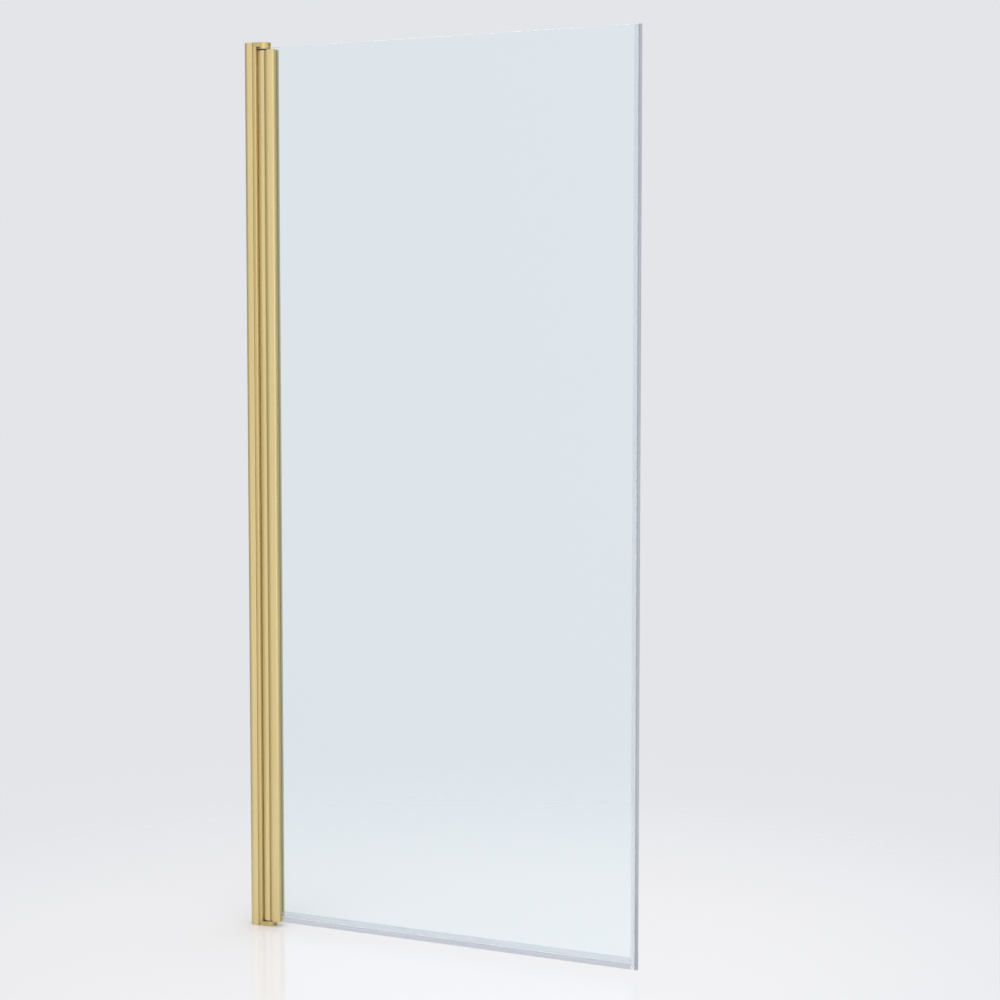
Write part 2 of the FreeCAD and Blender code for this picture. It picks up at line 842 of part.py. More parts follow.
def glass_setting_block():
    half = glass_half - size.block_clearance
    body = new_body("glass_setting_block")
    pad(body, "XY_Plane", [rectangle(glass_start, -half, lip_x, half)], glass_bottom - profile_bottom)
    place(body, z=profile_bottom)
    keep(body, "glass_setting_block")


def bottom_seal():
    """A clip on the lower glass edge with a wiper at the front and a drip lip towards the shower."""
    inner = glass_half + size.clip_clearance
    outer = inner + size.clip_wall
    web_top = -size.clip_clearance
    web_bottom = web_top - size.clip_web
    wiper_tip = -size.seal_drop
    wiper_x = size.wiper_lean - outer
    drip_end = outer + size.drip_reach
    drip_bottom = web_bottom - size.drip_drop
    section = [
        corner(-outer, size.seal_leg),
        corner(-outer, web_bottom),
        corner(wiper_x, wiper_tip),
        corner(wiper_x + size.wiper_tip, wiper_tip),
        corner(size.wiper_root - outer, web_bottom),
        corner(outer - size.wiper_root, web_bottom),
        corner(drip_end - size.drip_tip, drip_bottom),
        corner(drip_end, drip_bottom + size.drip_tip),
        corner(outer, web_top),
        corner(outer, size.seal_leg),
        corner(inner, size.seal_leg),
        corner(inner, web_top),
        corner(-inner, web_top),
        corner(-inner, size.seal_leg),
    ]
    start = bead_end + size.seal_joint
    body = new_body("bottom_seal")
    pad(body, "YZ_Plane", [section], closing_start - size.seal_joint - start)
    place(body, x=start, z=glass_bottom)
    keep(body, "bottom_seal")


def closing_edge_seal():
    """A clip on the free glass edge with a hollow bulb."""
    inner = glass_half + size.clip_clearance
    outer = inner + size.clip_wall
    web_near = glass_end + size.clip_clearance
    web_far = web_near + size.clip_web
    neck = size.bulb_neck
    bulb_length = size.door_width - web_far
    bulb_radius = (bulb_length * bulb_length + neck * neck) / (bulb_length * 2)
    section = [
        corner(closing_start, -outer),
        corner(web_far, -outer),
        corner(web_far, -neck),
        bend(size.door_width, zero, bulb_radius, left),
        bend(web_far, neck, bulb_radius, left),
        corner(web_far, outer),
        corner(closing_start, outer),
        corner(closing_start, inner),
        corner(web_near, inner),
        corner(web_near, -inner),
        corner(closing_start, -inner),
    ]
    hollow = ring(size.door_width - bulb_radius, zero, bulb_radius - size.bulb_wall)
    body = new_body("closing_edge_seal")
    pad(body, "XY_Plane", [section, hollow], glass_top - size.floor_gap)
    place(body, z=size.floor_gap)
    keep(body, "closing_edge_seal")


wall_profile()
adjusting_profile()
hinge_gasket()
adjusting_fasteners()
for end, boss, washer, flange in (
    ("lower", size.lower_boss, lower_washer, lower_flange),
    ("upper", size.upper_boss, upper_washer, upper_flange),
):
    pivot_bracket(end, boss)
    bracket_screws(end)
    pivot_pin(end, flange)
    pin_set_screw(end)
    thrust_washer(end, washer)
    pivot_bush(end, flange)
    profile_cap(end)
door_profile()
glass_pane()
glazing_gasket("front", -1)
glazing_gasket("rear", 1)
glass_clamp()
glass_setting_block()
bottom_seal()
closing_edge_seal()
doc.recompute()

for item in doc.Objects:
    if "Invalid" in item.State or "Error" in item.State:
        raise RuntimeError(f"{item.Label} failed: {item.State}")
for label, (item, solids) in nodes.items():
    if item.Shape.isNull() or not item.Shape.isValid() or len(item.Shape.Solids) != solids:
        raise RuntimeError(f"{label} is not {solids} valid solid(s)")

os.makedirs("parts", exist_ok=True)
for label, (item, solids) in nodes.items():
    item.Shape.exportStep(f"parts/{label}.step")
print(f"{len(nodes)} sub-parts written")
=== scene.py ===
import json

import bpy
import numpy as np
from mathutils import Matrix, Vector
from mathutils.geometry import delaunay_2d_cdt


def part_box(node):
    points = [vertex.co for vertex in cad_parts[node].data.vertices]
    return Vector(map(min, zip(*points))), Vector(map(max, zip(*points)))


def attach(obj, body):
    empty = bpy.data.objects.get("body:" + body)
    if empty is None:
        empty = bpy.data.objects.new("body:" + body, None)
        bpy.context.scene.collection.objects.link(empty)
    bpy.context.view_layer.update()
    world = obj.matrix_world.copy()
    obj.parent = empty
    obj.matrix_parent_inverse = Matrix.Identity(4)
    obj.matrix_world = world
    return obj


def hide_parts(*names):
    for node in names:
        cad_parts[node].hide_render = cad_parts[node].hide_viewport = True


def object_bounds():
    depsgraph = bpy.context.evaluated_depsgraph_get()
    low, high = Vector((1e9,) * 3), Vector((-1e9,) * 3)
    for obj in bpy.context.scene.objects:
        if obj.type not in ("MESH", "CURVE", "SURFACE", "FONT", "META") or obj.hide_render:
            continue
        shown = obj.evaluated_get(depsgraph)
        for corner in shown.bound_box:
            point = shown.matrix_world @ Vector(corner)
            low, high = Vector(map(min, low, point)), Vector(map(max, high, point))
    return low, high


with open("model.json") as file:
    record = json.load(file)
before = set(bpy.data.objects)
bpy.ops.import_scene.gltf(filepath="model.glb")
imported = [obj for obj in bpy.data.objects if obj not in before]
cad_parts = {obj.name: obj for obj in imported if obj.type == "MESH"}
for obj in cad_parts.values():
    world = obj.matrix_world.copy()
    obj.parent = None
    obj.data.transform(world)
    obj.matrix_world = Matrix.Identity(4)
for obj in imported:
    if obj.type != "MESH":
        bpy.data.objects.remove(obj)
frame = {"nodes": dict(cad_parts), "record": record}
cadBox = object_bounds()
mm = 0.001
record = frame["record"]
slotOf = {part["node"]: part["material_slot"] for part in record["subparts"]}
bodyOf = {node: body for body, nodes in record["behaviour"]["bodies"].items() for node in nodes}
joints = {joint["name"]: joint for joint in record["behaviour"]["joints"]}
pivotX = joints["door_swing"]["pos_m"][0] / mm
slideIn, slideOut = (travel / mm for travel in joints["width_adjustment"]["range_m"])


# sections and meshes, in mm

def boxMm(node):
    low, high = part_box(node)
    return np.array(low) / mm, np.array(high) / mm


def cornered(corners, arcPoints=10, hold=0.12, closest=1e-5):
    # corners are (x, y) or (x, y, radius); a radius makes the corner an arc tangent to its two edges,
    # with one more point just past each end of the arc, which keeps the flats flat in the shading;
    # of points closer together than closest, one stays
    spot = np.array([corner[:2] for corner in corners], float)
    radius = np.array([corner[2] if len(corner) > 2 else 0 for corner in corners], float)
    toNext = np.roll(spot, -1, 0) - spot
    length = np.linalg.norm(toNext, axis=1)
    onward = toNext / length[:, None]
    backward = -np.roll(onward, 1, 0)
    halfAngle = 0.5 * np.arccos(np.clip((onward * backward).sum(1), -1, 1))
    tangent = radius / np.tan(halfAngle)
    roomy = length - tangent - np.roll(tangent, -1) > 3 * hold  # a shorter flat gets no more points
    holdAfter = np.where((radius > 0) & roomy, hold, 0)
    holdBefore = np.where((radius > 0) & np.roll(roomy, 1), hold, 0)
    middle = onward + backward
    middle /= np.maximum(np.linalg.norm(middle, axis=1), closest)[:, None]
    centre = spot + middle * (radius / np.sin(halfAngle))[:, None]
    side = np.sign(onward[:, 1] * backward[:, 0] - onward[:, 0] * backward[:, 1])
    angle = (-side * (np.pi - 2 * halfAngle))[:, None] * np.linspace(0, 1, arcPoints)
    start = spot + backward * tangent[:, None] - centre
    arcX = start[:, :1] * np.cos(angle) - start[:, 1:] * np.sin(angle)
    arcY = start[:, :1] * np.sin(angle) + start[:, 1:] * np.cos(angle)
    arc = np.stack([arcX, arcY], 2) + centre[:, None]
    before = spot + backward * (tangent + holdBefore)[:, None]
    after = spot + onward * (tangent + holdAfter)[:, None]
    ring = np.concatenate([before[:, None], arc, after[:, None]], 1).reshape(-1, 2)
    apart = np.linalg.norm(ring - np.roll(ring, 1, 0), axis=1) > closest
    return ring[apart]


def mirrored(half):
    # the front half of a section followed by its mirror image behind the glass plane
    return half + [(x, -y, *radius) for x, y, *radius in reversed(half)]


def circle(x, y, radius, points=64):
    angle = np.linspace(0, 2 * np.pi, points, endpoint=False)
    return np.column_stack([x + radius * np.cos(angle), y + radius * np.sin(angle)])


def narrowed(ring, depth):
    # every point moves inwards along the mitre of its two edges
    edge = np.roll(ring, -1, 0) - ring
    edge /= np.linalg.norm(edge, axis=1)[:, None]
    normal = np.column_stack([edge[:, 1], -edge[:, 0]])
    before = np.roll(normal, 1, 0)
    mitre = (normal + before) / (1 + (normal * before).sum(1))[:, None]
    return ring - mitre * depth


def endFaces(spots, following, first, insideRings=1, closest=1e-6):
    # Delaunay triangles within the outer ring and outside the holes, which are convex; following is the
    # next point of each point's ring, first is that ring's first point
    edges = np.column_stack([np.arange(len(spots)), following])
    _, _, triangles, source, _, _ = delaunay_2d_cdt(spots.tolist(), edges.tolist(), [], insideRings, closest)
    triangles = np.concatenate(source)[np.array(triangles)]
    ring = first[triangles]
    inHole = (ring[:, 0] > 0) & (ring == ring[:, :1]).all(1)
    return triangles[~inHole]


def carried(rings, start, end, ease=0, axes=(0, 1, 2)):
    # a section, one outer ring and any holes, carried along a straight path from start to end;
    # ease chamfers the edges at both ends, axes are those of the section's x, its y and the path
    rings = [rings[0]] + [ring[::-1] for ring in rings[1:]]
    counts = [len(ring) for ring in rings]
    total = sum(counts)
    levels = [(start, 0), (end, 0)]
    if ease:
        levels = [(start, ease), (start + ease, 0), (end - ease, 0), (end, ease)]
    layers = [np.vstack([narrowed(ring, depth) for ring in rings]) for _, depth in levels]
    along = np.repeat([at for at, _ in levels], total)
    points = np.empty((len(levels) * total, 3))
    points[:, list(axes)] = np.column_stack([np.vstack(layers), along])
    first = np.repeat(np.cumsum([0] + counts[:-1]), counts)
    here = np.arange(total)
    following = first + (here - first + 1) % np.repeat(counts, counts)
    strip = np.column_stack([here, following, following + total, here + total])
    sides = (strip + np.arange(len(levels) - 1)[:, None, None] * total).reshape(-1, 4)
    cap = endFaces(layers[0], following, first)
    faces = sides.tolist() + cap[:, ::-1].tolist() + (cap + (len(levels) - 1) * total).tolist()
    return points * mm, faces


def shaded(mesh, sharpDeg=32):
    mesh.polygons.foreach_set("use_smooth", np.ones(len(mesh.polygons), bool))
    mesh.set_sharp_from_angle(angle=np.radians(sharpDeg))


def newObject(name, points, faces):
    mesh = bpy.data.meshes.new(name)
    mesh.from_pydata(points.tolist(), [], faces)
    mesh.update()
    shaded(mesh)
    made = bpy.data.objects.new(name, mesh)
    bpy.context.scene.collection.objects.link(made)
    return made


def drilled(piece, cutters):
    # takes the cutters' volumes out of the piece in one go
    firsts = np.cumsum([0] + [len(points) for points, _ in cutters])
    faces = [[k + first for k in face] for first, (_, part) in zip(firsts, cutters) for face in part]
    cutter = newObject("cutter", np.vstack([points for points, _ in cutters]), faces)
    drill = piece.modifiers.new("drill", "BOOLEAN")
    drill.operation = "DIFFERENCE"
    drill.solver = "EXACT"
    drill.object = cutter
    mesh = bpy.data.meshes.new_from_object(piece.evaluated_get(bpy.context.evaluated_depsgraph_get()))
    piece.modifiers.clear()
    piece.data = mesh
    bpy.data.objects.remove(cutter)
    shaded(mesh)


def middleX(node):
    low, high = boxMm(node)
    return (low[0] + high[0]) / 2


def rowCentres(node, radius, count):
    # heights of a row of equal round pieces in one node, from the node's box
    low, high = boxMm(node)
    return np.linspace(low[2] + radius, high[2] - radius, count)


def crossHoles(node, holeRadius, pieceRadius, count, start, end):
    # cutters along y for a row of screws
    return [carried([circle(z, middleX(node), holeRadius, points=32)], start, end, axes=(2, 0, 1))
            for z in rowCentres(node, pieceRadius, count)]


def fitted(piece, node, *finishes):
    # the piece stands for the node and moves with the node's body
    for finish in finishes:
        piece.data.materials.append(finish)
    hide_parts(node)
    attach(piece, bodyOf[node])


def finishFaces(piece, chosen):
    # chosen is a function from the faces' middles in mm and their normals to the number of each face's finish
    mesh = piece.data
    middles, normals = np.empty(len(mesh.polygons) * 3), np.empty(len(mesh.polygons) * 3)
    mesh.polygons.foreach_get("center", middles)
    mesh.polygons.foreach_get("normal", normals)
    number = chosen(middles.reshape(-1, 3) / mm, normals.reshape(-1, 3))
    mesh.polygons.foreach_set("material_index", number.astype(int))


# finishes

def linear(hexColour):
    # sRGB hex to the linear values that shaders take, by the sRGB curve
    value = np.array([int(hexColour[k:k + 2], 16) for k in (1, 3, 5)]) / 255
    value = np.where(value <= 0.04045, value / 12.92, ((value + 0.055) / 1.055) ** 2.4)
    return (*value, 1.0)


def addNode(tree, kind, inputs={}, **settings):
    node = tree.nodes.new(kind)
    for name, value in settings.items():
        setattr(node, name, value)
    for name, value in inputs.items():
        if isinstance(value, bpy.types.NodeSocket):
            tree.links.new(value, node.inputs[name])
        else:
            node.inputs[name].default_value = value
    return node


def newMaterial(name, sockets):
    material = bpy.data.materials.new(name)
    material.use_nodes = True
    shader = material.node_tree.nodes["Principled BSDF"]
    for socket, value in sockets.items():
        shader.inputs[socket].default_value = value
    return material, material.node_tree, shader


def patterned(name, look):
    # noise with cells of the grain's mm along x, y and z varies the colour, the gloss and a shallow relief
    material, tree, shader = newMaterial(name, look["sockets"])
    noiseLow, noiseHigh = 0.3, 0.7  # nearly all of the noise lies between these
    where = addNode(tree, "ShaderNodeTexCoord").outputs["Object"]
    perMetre = [1 / (cell * mm) for cell in look["grain"]]
    stretch = addNode(tree, "ShaderNodeMapping", {"Vector": where, "Scale": perMetre})
    noise = addNode(tree, "ShaderNodeTexNoise", {"Vector": stretch.outputs[0], "Scale": 1.0, "Detail": 3.0})
    tone = addNode(tree, "ShaderNodeValToRGB", {"Fac": noise.outputs[0]})
    shades = (look["dark"], look["light"])
    for stop, at, shade in zip(tone.color_ramp.elements, (noiseLow, noiseHigh), shades):
        stop.position = at
        stop.color = linear(shade)
    smooth, rough = look["rough"]
    gloss = addNode(tree, "ShaderNodeMapRange", {
        "Value": noise.outputs[0], "From Min": noiseLow, "From Max": noiseHigh,
        "To Min": rough, "To Max": smooth})
    relief = addNode(tree, "ShaderNodeBump", {
        "Height": noise.outputs[0], "Strength": 1.0, "Distance": look["relief"] * mm})
    tree.links.new(tone.outputs[0], shader.inputs["Base Color"])
    tree.links.new(gloss.outputs[0], shader.inputs["Roughness"])
    tree.links.new(relief.outputs[0], shader.inputs["Normal"])
    return material


def brushedBrass(name, light, dark, rough=(0.4, 0.48), metallic=0.6):
    # aluminium extrusion, brushed along its length and anodised pale brass: satin, with soft streaks
    # along the profile; the brush lines are about 0.1 mm wide and are drawn 1.2 mm wide so that they show
    return patterned(name, dict(light=light, dark=dark, rough=rough, relief=0.004, grain=(1.2, 1.2, 400),
                                sockets={"Metallic": metallic}))


def blastedBrass():
    # end pieces milled from aluminium, blasted and anodised pale brass: an even satin with a fine grain,
    # 0.2 mm in life and drawn 0.8 mm so that it shows
    look = dict(light="#c8b47f", dark="#baa772", rough=(0.38, 0.46), relief=0.003, grain=(0.8, 0.8, 0.8),
                sockets={"Metallic": 0.85})
    return patterned("blasted_brass_anodised_aluminium", look)


def millAluminium():
    # extruded aluminium bar left as it came from the press: grey, with dull drawn lines along it
    look = dict(light="#cfd0d2", dark="#bfc0c2", rough=(0.4, 0.5), relief=0.004, grain=(1.0, 1.0, 250),
                sockets={"Metallic": 1.0})
    return patterned("mill_finish_aluminium", look)


def turnedSteel():
    # stainless steel screws and pins, turned: bright grey with a fine grain
    look = dict(light="#cbc9c5", dark="#b9b7b3", rough=(0.22, 0.32), relief=0.002, grain=(0.5, 0.5, 0.5),
                sockets={"Metallic": 1.0})
    return patterned("turned_stainless_steel", look)


def mouldedNylon():
    # black nylon, injection moulded against a spark-eroded tool: matt, with a fine even grain; drawn as a
    # warm dark grey, because only thin lines of it show beside the brass
    look = dict(light="#4f4936", dark="#443e2e", rough=(0.5, 0.62), relief=0.01, grain=(0.5, 0.5, 0.5),
                sockets={"IOR": 1.53})
    return patterned("moulded_black_nylon", look)


def paintedAbs():
    # ABS end plates sprayed in a brass metallic paint: softer and a little warmer than the anodised metal,
    # with flakes drawn 0.6 mm wide
    look = dict(light="#dcc486", dark="#cdb475", rough=(0.36, 0.46), relief=0.004, grain=(0.6, 0.6, 0.6),
                sockets={"Metallic": 0.8})
    return patterned("brass_painted_abs", look)


def extrudedRubber():
    # olive-grey EPDM strip, extruded: dull, with faint drawn lines and a dusty bloom along its length
    look = dict(light="#a49e7c", dark="#958f6d", rough=(0.6, 0.75), relief=0.01, grain=(0.8, 0.8, 120),
                sockets={"IOR": 1.5})
    return patterned("extruded_grey_rubber", look)


def clearGlass():
    # toughened float glass: clear with a faint blue-green cast, and a slow wave of the oven's rollers,
    # about 280 mm from crest to crest, that only bends its reflections
    look = dict(tint="#f6fdff", wave=280, relief=0.02,
                sockets={"Roughness": 0.0, "IOR": 1.52, "Transmission Weight": 1.0})
    material, tree, shader = newMaterial("toughened_clear_float_glass", look["sockets"])
    shader.inputs["Base Color"].default_value = linear(look["tint"])
    where = addNode(tree, "ShaderNodeTexCoord").outputs["Object"]
    wide = addNode(tree, "ShaderNodeMapping", {"Vector": where, "Scale": [1 / (look["wave"] * mm)] * 3})
    wave = addNode(tree, "ShaderNodeTexNoise", {"Vector": wide.outputs[0], "Scale": 1.0, "Detail": 0.0})
    relief = addNode(tree, "ShaderNodeBump", {"Height": wave.outputs[0], "Distance": look["relief"] * mm})
    tree.links.new(relief.outputs[0], shader.inputs["Normal"])
    return material


def groundGlassEdge():
    # the pane's narrow faces, ground matt: pale, because they scatter the light that the pane gathers
    look = dict(light="#f5fbf9", dark="#ecf5f3", rough=(0.3, 0.42), relief=0.003, grain=(0.6, 0.6, 0.6),
                sockets={"IOR": 1.52, "Transmission Weight": 0.65})
    return patterned("ground_glass_edge", look)


drawnLines = dict(level=(180, 1.5, 1.5), upright=(1.5, 1.5, 180))  # grain of a strip along x and along z


def clearPvc(run):
    # clear hard PVC, extruded: see-through with a cool cast and faint lines along the strip
    look = dict(light="#f3f5f7", dark="#eaecf0", rough=(0.06, 0.12), relief=0.002, grain=drawnLines[run],
                sockets={"IOR": 1.53, "Transmission Weight": 0.95})
    return patterned("extruded_clear_pvc_" + run, look)


def softPvc(run, light, dark):
    # the soft lips and the bulb, of plasticised PVC: cloudy and greyer than the clip
    look = dict(light=light, dark=dark, rough=(0.3, 0.42), relief=0.004, grain=drawnLines[run],
                sockets={"IOR": 1.52, "Transmission Weight": 0.4})
    return patterned("extruded_soft_grey_pvc_" + run, look)


brass = brushedBrass("brushed_brass_anodised_aluminium", light="#dbc892", dark="#ccb983")
rubber = extrudedRubber()
finishOf = {
    "brass_anodised_aluminium": blastedBrass(),
    "mill_aluminium": millAluminium(),
    "stainless_steel": turnedSteel(),
    "black_nylon": mouldedNylon(),
    "brass_coloured_abs": paintedAbs(),
}
print("shared finishes made")


# profiles of the hinge side

def wallProfile():
    # the channel on the wall: a back and two flanges of one thickness, rounded where they meet,
    # most of all at the front
    size = dict(skin=1.8, frontCorner=12, rearCorner=4.5, lipRound=0.5, cornerPoints=24, ease=0.25,
                holeRadius=2.5, holes=4, holeInset=125, screws=3, screwHead=3.9, slotHalf=2.3, past=1,
                washerGap=0.02)
    low, high = boxMm("wall_profile")
    skin, turn, past = size["skin"], size["lipRound"], size["past"]
    back, mouth, outer, inner = low[0] + skin, high[0], high[1], high[1] - skin
    rear = outer - size["washerGap"]  # the washers slide just clear of the rear face
    section = cornered([
        (back, inner, size["rearCorner"] - skin),
        (mouth, inner, turn),
        (mouth, rear, turn),
        (low[0], rear, size["rearCorner"]),
        (low[0], -outer, size["frontCorner"]),
        (mouth, -outer, turn),
        (mouth, -inner, turn),
        (back, -inner, size["frontCorner"] - skin),
    ], size["cornerPoints"])
    profile = newObject("wallProfileBrushed", *carried([section], low[2], high[2], size["ease"]))
    holeHeights = np.linspace(low[2] + size["holeInset"], high[2] - size["holeInset"], size["holes"])
    holes = [carried([circle(0, z, size["holeRadius"])], low[0] - past, back + past, axes=(1, 2, 0))
             for z in holeHeights]
    screwX = middleX("adjusting_screws")
    near, far, half = screwX + slideIn, screwX + slideOut, size["slotHalf"]
    slots = []
    for z in rowCentres("adjusting_screws", size["screwHead"], size["screws"]):
        ends = [(z - half, near - half, half), (z + half, near - half, half),
                (z + half, far + half, half), (z - half, far + half, half)]
        slots.append(carried([cornered(ends)], inner - past, outer + past, axes=(2, 0, 1)))
    drilled(profile, holes + slots)
    fitted(profile, "wall_profile", brass)


def adjustingProfile():
    # slides in the channel: two legs, the front one shorter, a box with a chamber and two screw ports,
    # and a T slot in the end
    size = dict(leg=2, legTip=0.6, setback=4, chamfer=3, pocket=11, web=2, chamber=6.5, chamberHalf=5.5,
                portRadius=2, portY=8.7, portPoints=32, mouthHalf=1.5, mouthDepth=1, mouthRound=0.3,
                slotHalf=3, slotDepth=2.5, edge=1.6, inside=0.5, ease=0.25, screws=3, screwHead=3.9,
                screwHole=2.05, past=1)
    # faces is a painted shade for the front and back; end is a painted light for the end towards the door
    finish = dict(facing=0.7, faces=dict(light="#cbb883", dark="#bdaa75"),
                  end=dict(light="#e3ce95", dark="#d7c289", rough=(0.5, 0.6), metallic=0.45))
    low, high = boxMm("adjusting_profile")
    back, front, half = low[0], high[0], high[1]
    inner, turn = half - size["leg"], size["inside"]
    pocketFloor = back + size["pocket"]

    def legged(legBack, chamfer):
        return [
            (pocketFloor, -inner, turn),
            (legBack, -inner),
            (legBack, -inner - size["legTip"]),
            (legBack + chamfer, -half),
        ]

    slot = [
        (front, -half, size["edge"]),
        (front, -size["mouthHalf"], size["mouthRound"]),
        (front - size["mouthDepth"], -size["mouthHalf"]),
        (front - size["mouthDepth"], -size["slotHalf"]),
        (front - size["slotDepth"], -size["slotHalf"]),
    ]
    frontLeg = legged(back + size["setback"], size["chamfer"])
    rearLeg = legged(back, size["leg"] - size["legTip"])
    section = cornered(frontLeg + mirrored(slot) + mirrored(rearLeg)[len(rearLeg):])
    chamberBack = pocketFloor + size["web"]
    chamberFront, chamberHalf = chamberBack + size["chamber"], size["chamberHalf"]
    chamber = cornered([(chamberBack, -chamberHalf, turn), (chamberFront, -chamberHalf, turn),
                        (chamberFront, chamberHalf, turn), (chamberBack, chamberHalf, turn)])
    portX = (chamberBack + chamberFront) / 2
    ports = [circle(portX, side * size["portY"], size["portRadius"], size["portPoints"]) for side in (-1, 1)]
    bar = carried([section, chamber, *ports], low[2], high[2], size["ease"])
    profile = newObject("adjustingProfileBrushed", *bar)
    drilled(profile, crossHoles("adjusting_screws", size["screwHole"], size["screwHead"], size["screws"],
                                inner - size["past"], half + size["past"]))
    # its front and back are drawn darker than the wall profile, a painted shade for their place behind the
    # wall profile's lip; its end towards the door is drawn paler, a painted light for the gap beside the
    # nose, and rougher, as it is not brushed
    fitted(profile, "adjusting_profile", brass,
           brushedBrass("brushed_brass_anodised_aluminium_painted_shade", **finish["faces"]),
           brushedBrass("matt_brass_anodised_aluminium_painted_light", **finish["end"]))

    # 2 takes the painted light, 1 the painted shade
    def paintedShadeOrLight(middles, normals):
        towardsDoor, frontOrBack = normals[:, 0] > finish["facing"], np.abs(normals[:, 1]) > finish["facing"]
        return np.where(towardsDoor, 2, frontOrBack)

    finishFaces(profile, paintedShadeOrLight)


def hingeGasket():
    # a T-shaped strip in the end of the adjusting profile
    size = dict(headDepth=1.3, headRound=0.25, stemHalf=1.4, tipRound=0.7, ease=0.2)
    low, high = boxMm("hinge_gasket")
    headFront = low[0] + size["headDepth"]
    section = cornered(mirrored([
        (low[0], -high[1], size["headRound"]),
        (headFront, -high[1], size["headRound"]),
        (headFront, -size["stemHalf"]),
        (high[0], -size["stemHalf"], size["tipRound"]),
    ]))
    strip = newObject("hingeGapStrip", *carried([section], low[2], high[2], size["ease"]))
    fitted(strip, "hinge_gasket", rubber)


def doorProfile():
    # round nose about the pivot, a bore for the bushes, a shadow groove on both faces that rises to
    # the glazing part in a rounded shoulder, a glazing channel with room for the clamp bar behind the
    # glass, and a hollow in front of it
    size = dict(bore=11, borePoints=96, cornerPoints=24, grooveStart=6.2, grooveWide=10.8, grooveDeep=2.4,
                grooveSlant=0.8, grooveRound=0.25, shoulderPoints=20, edge=2.5, glazing=15.5, channelFace=5,
                channelRound=0.3, clampWall=10.8, lip=1.5, skin=1.5, chamberBack=6.6, inside=0.5, ease=0.2,
                screws=5, screwRadius=2.5, screwHole=2.55, past=1)
    # groove is a darker brass, a painted shade for the bottom of the groove
    finish = dict(grooveShadeFrom=1.0, slack=0.1,
                  groove=dict(light="#c2b07c", dark="#b4a26f", rough=(0.5, 0.6)))
    low, high = boxMm("door_profile")
    end, half = high[0], high[1]
    channelStart, lipX = end - size["glazing"], end - size["lip"]
    face, clampWall, turn = size["channelFace"], size["clampWall"], size["channelRound"]
    near, deep = pivotX + size["grooveStart"], size["grooveDeep"]
    run = size["grooveWide"] - size["grooveSlant"]
    far = near + size["grooveWide"]
    radius = (run ** 2 / deep + deep) / 2
    angle = np.linspace(np.arcsin(run / radius), 0, size["shoulderPoints"])
    shoulder = np.column_stack([far - radius * np.sin(angle), radius * (1 - np.cos(angle)) - half])
    frontHalf = [
        (low[0], -half, half),
        (near, -half, size["grooveRound"]),
        *shoulder,
        (end, -half, size["edge"]),
    ]
    channel = [(end, -face, turn), (channelStart, -face), (channelStart, clampWall), (lipX, clampWall),
               (lipX, face), (end, face, turn)]
    section = cornered(frontHalf + channel + mirrored(frontHalf)[len(frontHalf):], size["cornerPoints"])
    chamberFront, chamberBack, turn = size["skin"] - half, -size["chamberBack"], size["inside"]
    chamber = cornered([(channelStart, chamberFront, turn), (lipX, chamberFront, turn),
                        (lipX, chamberBack, turn), (channelStart, chamberBack, turn)])
    bore = circle(pivotX, 0, size["bore"], size["borePoints"])
    bar = carried([section, bore, chamber], low[2], high[2], size["ease"])
    profile = newObject("doorProfileBrushed", *bar)
    drilled(profile, crossHoles("clamp_screws", size["screwHole"], size["screwRadius"], size["screws"],
                                clampWall - size["past"], half + size["past"]))
    # the bottom of the groove is drawn darker, a painted shade for the recess, and rougher, as the brush
    # doesn't reach it
    fitted(profile, "door_profile", brass,
           brushedBrass("matt_brass_anodised_aluminium_painted_shade", **finish["groove"]))

    # the faces near the bottom of the groove, which take the painted shade
    def inGroove(middles, normals):
        below = half - np.abs(middles[:, 1])
        grooveShade = (below > finish["grooveShadeFrom"]) & (below < deep + finish["slack"])
        return grooveShade & (middles[:, 0] > near) & (middles[:, 0] < far)

    finishFaces(profile, inGroove)


wallProfile()
adjustingProfile()
hingeGasket()
doorProfile()
print("profiles made")


# glass, glazing strips and seals

def glassPane():
    # a plate with all its edges chamfered
    size = dict(arris=0.6, sharpDeg=10, edgeFacing=0.9)
    low, high = boxMm("glass_pane")
    arris = size["arris"]
    section = mirrored([(low[0], low[1] + arris), (low[0] + arris, low[1]), (high[0] - arris, low[1]),
                        (high[0], low[1] + arris)])
    pane = newObject("glassPaneClear", *carried([cornered(section)], low[2], high[2], arris))
    shaded(pane.data, size["sharpDeg"])
    pane.visible_shadow = pane.visible_diffuse = False  # clear glass hardly dims the floor behind it
    fitted(pane, "glass_pane", clearGlass(), groundGlassEdge())
    finishFaces(pane, lambda middles, normals: np.abs(normals[:, 1]) < size["edgeFacing"])


def glazingStrips():
    # a strip on each side of the glass in its channel, with a rounded bead in front of the profile's end
    size = dict(bead=1.2, lip=1.5, beadRound=0.9, rootRound=0.2, wipeRound=0.2, glassGap=0.03, ease=0.15)
    glassHalf = boxMm("glass_pane")[1][1] + size["glassGap"]
    for side, node, name in ((1, "front_glazing_gasket", "frontGlazingStrip"),
                             (-1, "rear_glazing_gasket", "rearGlazingStrip")):
        low, high = boxMm(node)
        beadOut = max(-low[1], high[1])
        channelFace, profileEnd = beadOut - size["lip"], high[0] - size["bead"]
        front = [
            (low[0], -channelFace),
            (profileEnd, -channelFace),
            (profileEnd, -beadOut, size["rootRound"]),
            (high[0], -beadOut, size["beadRound"]),
            (high[0], -glassHalf, size["wipeRound"]),
            (low[0], -glassHalf),
        ]
        section = cornered(front if side > 0 else mirrored(front)[len(front):])
        fitted(newObject(name, *carried([section], low[2], high[2], size["ease"])), node, rubber)


